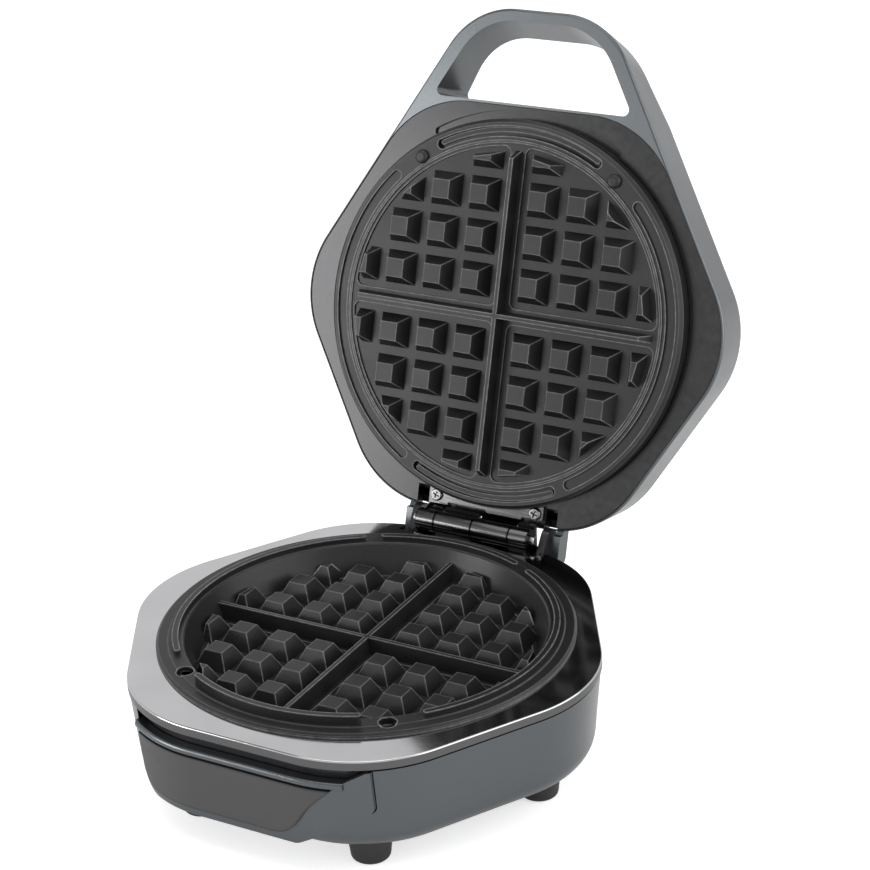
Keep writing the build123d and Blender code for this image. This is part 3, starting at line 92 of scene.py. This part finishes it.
def noise(tree, per_metre, detail=3.0, rough=0.5, stretch=None):
    """Noise texture in object space, so that it stays on the piece when it moves."""
    texture = tree.nodes.new("ShaderNodeTexNoise")
    texture.inputs["Scale"].default_value = per_metre
    texture.inputs["Detail"].default_value = detail
    texture.inputs["Roughness"].default_value = rough
    source = object_coordinates(tree)
    if stretch:
        mapping = tree.nodes.new("ShaderNodeMapping")
        mapping.inputs["Scale"].default_value = stretch
        tree.links.new(source, mapping.inputs["Vector"])
        source = mapping.outputs["Vector"]
    tree.links.new(source, texture.inputs["Vector"])
    return texture.outputs["Fac"]


def ramp(tree, source, low, high, span=NOISE_SPAN):
    """Colour from a grey source: low and high are the colours at the two ends of its span."""
    node = tree.nodes.new("ShaderNodeValToRGB")
    for element, place, colour in zip(node.color_ramp.elements, span, (low, high)):
        element.position = place
        element.color = (*colour, 1.0)
    tree.links.new(source, node.inputs["Fac"])
    return node.outputs["Color"]


def spread(tree, source, low, high, span=NOISE_SPAN):
    """Map a grey source's span to the range from low to high."""
    node = tree.nodes.new("ShaderNodeMapRange")
    node.inputs["From Min"].default_value = span[0]
    node.inputs["From Max"].default_value = span[1]
    node.inputs["To Min"].default_value = low
    node.inputs["To Max"].default_value = high
    tree.links.new(source, node.inputs["Value"])
    return node.outputs["Result"]


def blend(tree, factor, low, high):
    """Mix two colours, each a fixed colour or a colour output."""
    node = tree.nodes.new("ShaderNodeMix")
    node.data_type = "RGBA"
    tree.links.new(factor, node.inputs["Factor"])
    for socket, colour in (("A", low), ("B", high)):
        if isinstance(colour, tuple):
            node.inputs[socket].default_value = (*colour, 1.0)
        else:
            tree.links.new(colour, node.inputs[socket])
    return node.outputs["Result"]


def combine(tree, operation, first, second):
    """One sum of two grey outputs: ADD, MULTIPLY or MAXIMUM."""
    node = tree.nodes.new("ShaderNodeMath")
    node.operation = operation
    tree.links.new(first, node.inputs[0])
    tree.links.new(second, node.inputs[1])
    return node.outputs[0]


def outer_edges(tree, reach):
    """0 on a flat face and 1 at an outer edge, which it reaches over a distance in metres."""
    shade = tree.nodes.new("ShaderNodeAmbientOcclusion")
    shade.inside = True
    shade.only_local = True
    shade.samples = MASK_RAYS
    shade.inputs["Distance"].default_value = reach
    return spread(tree, shade.outputs["AO"], 1.0, 0.0, EDGE_MASK)


def with_painted_shade(tree, colour):
    """The colour with painted shade in seams, recesses and inner corners."""
    shade = tree.nodes.new("ShaderNodeAmbientOcclusion")
    shade.samples = MASK_RAYS
    shade.inputs["Distance"].default_value = SEAM_REACH
    seams = spread(tree, shade.outputs["AO"], 1.0, 0.0, SEAM_MASK)
    return blend(tree, seams, colour, PAINTED_SHADE)


def set_look(tree, shader, colour, roughness, metal=0.0):
    """Link a colour and a roughness to the shader and set how metallic it is."""
    tree.links.new(colour, shader.inputs["Base Color"])
    tree.links.new(roughness, shader.inputs["Roughness"])
    shader.inputs["Metallic"].default_value = metal


def add_bump(tree, shader, source, depth, strength=1.0):
    """Bump whose depth is in metres."""
    node = tree.nodes.new("ShaderNodeBump")
    node.inputs["Strength"].default_value = strength
    node.inputs["Distance"].default_value = depth
    tree.links.new(source, node.inputs["Height"])
    tree.links.new(node.outputs["Normal"], shader.inputs["Normal"])


# Materials

def metallic_paint():
    """Satin slate paint with fine metal flake under a thin lacquer."""
    material, tree, shader = new_material("slate_paint")
    flake = noise(tree, per_metre=2600.0, detail=2.0, rough=0.7)
    colour = ramp(tree, flake, (0.094, 0.102, 0.108), (0.112, 0.121, 0.128), span=(0.30, 0.72))
    cloud = noise(tree, per_metre=35.0, detail=2.0)
    # Painted shade darkens the paint in seams, recesses and inner corners.
    set_look(tree, shader, with_painted_shade(tree, colour), spread(tree, cloud, 0.27, 0.32), metal=0.9)
    add_bump(tree, shader, flake, depth=0.000003)
    shader.inputs["Coat Weight"].default_value = 0.25
    shader.inputs["Coat Roughness"].default_value = 0.18
    return material


def polished_dark_steel():
    """Mirror polished top with the faintest hairlines, over a satin lip whose darker colour is
    painted shade.
    """
    material, tree, shader = new_material("dark_mirror_steel")
    cloud = noise(tree, per_metre=22.0)
    top = ramp(tree, cloud, (0.46, 0.46, 0.47), (0.52, 0.52, 0.53))
    place = tree.nodes.new("ShaderNodeSeparateXYZ")
    tree.links.new(object_coordinates(tree), place.inputs["Vector"])
    turn = (BEZEL_LIP_TOP - BEZEL_LIP_TURN, BEZEL_LIP_TOP)
    upper = spread(tree, place.outputs["Z"], 0.0, 1.0, turn)
    # The lip's darker colour is painted shade; its higher roughness is the real satin finish.
    colour = blend(tree, upper, (0.12, 0.12, 0.122), top)
    hairline = noise(tree, per_metre=1800.0, detail=1.0, stretch=(0.06, 1.0, 1.0))
    satin = spread(tree, upper, 0.22, 0.0, (0.0, 1.0))
    polish = spread(tree, hairline, 0.08, 0.11)
    set_look(tree, shader, colour, combine(tree, "ADD", polish, satin), metal=1.0)
    add_bump(tree, shader, hairline, depth=0.0000015, strength=0.3)
    return material


def nonstick_coating():
    """Charcoal coating with a fine sprayed speckle over cast metal, with lighter edges that are
    partly wear and partly a painted highlight.
    """
    material, tree, shader = new_material("charcoal_nonstick")
    grain = noise(tree, per_metre=1500.0, rough=0.6)
    coat = ramp(tree, grain, (0.010, 0.010, 0.0105), (0.018, 0.018, 0.0185), span=(0.35, 0.68))
    patchy = spread(tree, noise(tree, per_metre=260.0, detail=2.0), 0.45, 1.0)
    # Lighter edges: partly wear and partly a painted highlight, broken up by patchy noise.
    wear_and_highlight = combine(tree, "MULTIPLY", outer_edges(tree, EDGE_REACH), patchy)
    cloud = noise(tree, per_metre=40.0, detail=2.0)
    set_look(tree, shader, blend(tree, wear_and_highlight, coat, WORN_AND_HIGHLIT_EDGE), spread(tree, cloud, 0.34, 0.39))
    shader.inputs["Specular IOR Level"].default_value = 0.28
    add_bump(tree, shader, grain, depth=0.00003)
    return material


def gloss_plastic(name, low, high, roughness, depth=0.000004, metal=0.0, painted_edge_shade=None):
    """Moulded plastic with a gloss or satin face, and painted shade along its edges if a shade
    colour is given.
    """
    material, tree, shader = new_material(name)
    cloud = noise(tree, per_metre=300.0)
    colour = ramp(tree, cloud, low, high)
    if painted_edge_shade:
        # Painted shade along the outer edges.
        colour = blend(tree, outer_edges(tree, 2 * EDGE_REACH), colour, painted_edge_shade)
    patchy = spread(tree, cloud, roughness * 0.9, roughness * 1.15)
    set_look(tree, shader, colour, patchy, metal)
    add_bump(tree, shader, noise(tree, per_metre=2200.0, detail=2.0), depth)
    return material


def black_chrome():
    """Dark plated steel of the hinge, with faint drawing lines along the axis and painted shade
    along its edges.
    """
    material, tree, shader = new_material("black_chrome")
    lines = noise(tree, per_metre=900.0, detail=2.0, stretch=(0.05, 1.0, 1.0))
    colour = ramp(tree, lines, (0.095, 0.095, 0.097), (0.150, 0.150, 0.153))
    # Painted shade along the edges, which darkens the gaps between the knuckles.
    colour = blend(tree, outer_edges(tree, EDGE_REACH), colour, PAINTED_SHADE)
    set_look(tree, shader, colour, spread(tree, lines, 0.10, 0.18), metal=1.0)
    add_bump(tree, shader, lines, depth=0.00001, strength=0.5)
    return material


def plain_metal(name, low, high, roughness, per_metre=700.0):
    """Bare metal with small stains and scratches."""
    material, tree, shader = new_material(name)
    stain = noise(tree, per_metre, detail=4.0, rough=0.6)
    # The stains are real; the darkening in seams, recesses and inner corners is painted shade.
    colour = with_painted_shade(tree, ramp(tree, stain, low, high))
    patchy = spread(tree, stain, roughness * 0.8, roughness * 1.2)
    set_look(tree, shader, colour, patchy, metal=1.0)
    add_bump(tree, shader, stain, depth=0.00001, strength=0.4)
    return material


def rubber():
    """Black rubber with a fine moulded grain."""
    material, tree, shader = new_material("foot_rubber")
    grain = noise(tree, per_metre=1700.0)
    colour = ramp(tree, grain, (0.016, 0.016, 0.017), (0.028, 0.028, 0.029))
    set_look(tree, shader, colour, spread(tree, grain, 0.36, 0.46))
    add_bump(tree, shader, grain, depth=0.00005, strength=0.6)
    return material


def dress(frame):
    """Give every carried-over node its material."""
    paint = metallic_paint()
    steel = plain_metal("screw_steel", (0.30, 0.30, 0.30), (0.42, 0.42, 0.42), 0.25)
    bright = plain_metal("bright_aluminium", (0.62, 0.62, 0.64), (0.74, 0.74, 0.76), 0.30,
                         per_metre=160.0)
    stained = plain_metal("heat_stained_steel", (0.24, 0.20, 0.17), (0.36, 0.34, 0.33), 0.35,
                          per_metre=90.0)
    coating = nonstick_coating()
    dark_steel = plain_metal("dark_screw_steel", (0.14, 0.14, 0.14), (0.22, 0.22, 0.22), 0.22)
    gloss = gloss_plastic("trim_gloss", (0.030, 0.030, 0.031), (0.038, 0.038, 0.039), 0.20,
                          metal=0.7)
    black = gloss_plastic("black_plastic", (0.010, 0.010, 0.011), (0.014, 0.014, 0.015), 0.22)
    # The panel's edges get painted shade.
    panel = gloss_plastic("panel_grey", (0.044, 0.044, 0.045), (0.052, 0.052, 0.053), 0.50,
                          depth=0.000012, painted_edge_shade=PAINTED_SHADE)
    block = gloss_plastic("fuse_body", (0.62, 0.61, 0.57), (0.74, 0.73, 0.69), 0.55,
                          depth=0.00002)
    hinge = black_chrome()
    foot = rubber()
    looks = {
        "base_shell": paint, "lid_shell": paint, "fascia_body": paint, "fascia_panel": panel,
        "base_bezel": polished_dark_steel(), "lid_trim": gloss, "base_frame": black,
        "bottom_cover": black, "feet": foot, "cord_gland": foot,
        "lower_plate": coating, "upper_plate": coating,
        "base_hinge_leaf": hinge, "lid_hinge_bracket": hinge, "hinge_pin": steel,
        "leaf_rivets": dark_steel, "bracket_screws": dark_steel,
        "cover_screws": steel, "frame_screws": steel,
        "lower_plate_screws": steel, "upper_plate_screws": steel,
        "lower_element": stained, "upper_element": stained,
        "lower_reflector": bright, "upper_reflector": bright, "thermostat": bright,
        "thermal_fuse": block, "terminal_block": block,
    }
    for node, material in looks.items():
        data = frame["nodes"][node].data
        data.materials.clear()
        data.materials.append(material)
        for face in data.polygons:
            face.material_index = 0


# Stage

def make_camera(frame):
    """The photograph's camera, placed from the hinge axis."""
    azimuth, elevation, roll = (
        math.radians(angle) for angle in (CAMERA_AZIMUTH, CAMERA_ELEVATION, CAMERA_ROLL))
    back = Vector((math.sin(azimuth) * math.cos(elevation),
                   -math.cos(azimuth) * math.cos(elevation), math.sin(elevation)))
    level = Vector((math.cos(azimuth), math.sin(azimuth), 0.0))
    upright = back.cross(level)
    right = math.cos(roll) * level + math.sin(roll) * upright
    up = -math.sin(roll) * level + math.cos(roll) * upright
    hinge = Vector(frame["joints"][0]["pos_m"])
    place = hinge + Vector(CAMERA_FROM_HINGE)
    data = bpy.data.cameras.new("photo_camera")
    data.sensor_width = SENSOR_MM
    data.lens = LENS_MM
    data.clip_end = CAMERA_REACH
    camera = bpy.data.objects.new("photo_camera", data)
    bpy.context.scene.collection.objects.link(camera)
    turn = Matrix((right, up, back)).transposed().to_4x4()
    camera.matrix_world = Matrix.Translation(place) @ turn
    bpy.context.scene.camera = camera


def seen_ray(tree):
    """1 for rays that show the background itself: from the camera, in gloss and through glass."""
    path = tree.nodes.new("ShaderNodeLightPath").outputs
    direct = combine(tree, "MAXIMUM", path["Is Camera Ray"], path["Is Glossy Ray"])
    return combine(tree, "MAXIMUM", direct, path["Is Transmission Ray"])


def make_world():
    """White round the horizon, where the background and most reflections are, dimmer overhead."""
    world = bpy.data.worlds.new("studio")
    bpy.context.scene.world = world
    world.use_nodes = True
    tree = world.node_tree
    seen = tree.nodes["Background"]
    seen.inputs["Color"].default_value = (1.0, 1.0, 1.0, 1.0)
    path = tree.nodes.new("ShaderNodeLightPath")
    sky = tree.nodes.new("ShaderNodeTexCoord").outputs["Generated"]
    direction = tree.nodes.new("ShaderNodeSeparateXYZ")
    tree.links.new(sky, direction.inputs["Vector"])
    ceiling = spread(tree, direction.outputs["Z"], 1.0, CEILING, CEILING_FADE)
    strength = combine(tree, "MAXIMUM", ceiling, path.outputs["Is Camera Ray"])
    tree.links.new(strength, seen.inputs["Strength"])
    lit = tree.nodes.new("ShaderNodeBackground")
    lit.inputs["Color"].default_value = (1.0, 1.0, 1.0, 1.0)
    lit.inputs["Strength"].default_value = WORLD_FILL
    mix = tree.nodes.new("ShaderNodeMixShader")
    tree.links.new(seen_ray(tree), mix.inputs["Fac"])
    tree.links.new(lit.outputs[0], mix.inputs[1])
    tree.links.new(seen.outputs[0], mix.inputs[2])
    tree.links.new(mix.outputs[0], tree.nodes["World Output"].inputs["Surface"])


def make_floor():
    """Pale round floor that shows white and keeps the object's shadow."""
    bpy.ops.mesh.primitive_circle_add(vertices=96, radius=FLOOR_RADIUS, fill_type="NGON",
                                      location=(0, 0, -FLOOR_DROP))
    floor = bpy.context.object
    floor.name = "floor"
    material, tree, shader = new_material("pale_floor")
    shader.inputs["Base Color"].default_value = (FLOOR_GREY, FLOOR_GREY, FLOOR_GREY, 1.0)
    shader.inputs["Roughness"].default_value = 0.9
    shader.inputs["Specular IOR Level"].default_value = 0.1
    glow = tree.nodes.new("ShaderNodeEmission")
    path = tree.nodes.new("ShaderNodeLightPath")
    seen = spread(tree, path.outputs["Is Camera Ray"], FLOOR_GLOW, FLOOR_GLOW_SEEN, (0.0, 1.0))
    tree.links.new(seen, glow.inputs["Strength"])
    both = tree.nodes.new("ShaderNodeAddShader")
    tree.links.new(shader.outputs[0], both.inputs[0])
    tree.links.new(glow.outputs[0], both.inputs[1])
    mix = tree.nodes.new("ShaderNodeMixShader")
    tree.links.new(seen_ray(tree), mix.inputs["Fac"])
    tree.links.new(shader.outputs[0], mix.inputs[1])
    tree.links.new(both.outputs[0], mix.inputs[2])
    tree.links.new(mix.outputs[0], tree.nodes["Material Output"].inputs["Surface"])
    floor.data.materials.append(material)


def make_light(name, place, width, height, watts):
    """Soft rectangular lamp that faces the part and that the camera doesn't see."""
    data = bpy.data.lights.new(name, "AREA")
    data.shape = "RECTANGLE"
    data.size = width
    data.size_y = height
    data.energy = watts
    lamp = bpy.data.objects.new(name, data)
    bpy.context.scene.collection.objects.link(lamp)
    lamp.location = place
    aim = Vector(LAMP_TARGET) - Vector(place)
    lamp.rotation_euler = aim.to_track_quat("-Z", "Y").to_euler()
    lamp.visible_camera = False


def make_lights():
    make_light("overhead", (0.0, -0.1, 1.6), width=1.4, height=1.4, watts=12.0)
    make_light("left_softbox", (-1.22, -1.30, 0.40), width=0.9, height=0.7, watts=15.0)
    make_light("right_softbox", (1.6, 0.2, 0.7), width=1.9, height=1.9, watts=25.0)


def main():
    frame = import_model()
    bpy.context.scene.view_settings.view_transform = "Standard"
    make_camera(frame)
    make_world()
    make_floor()
    make_lights()
    dress(frame)


main()
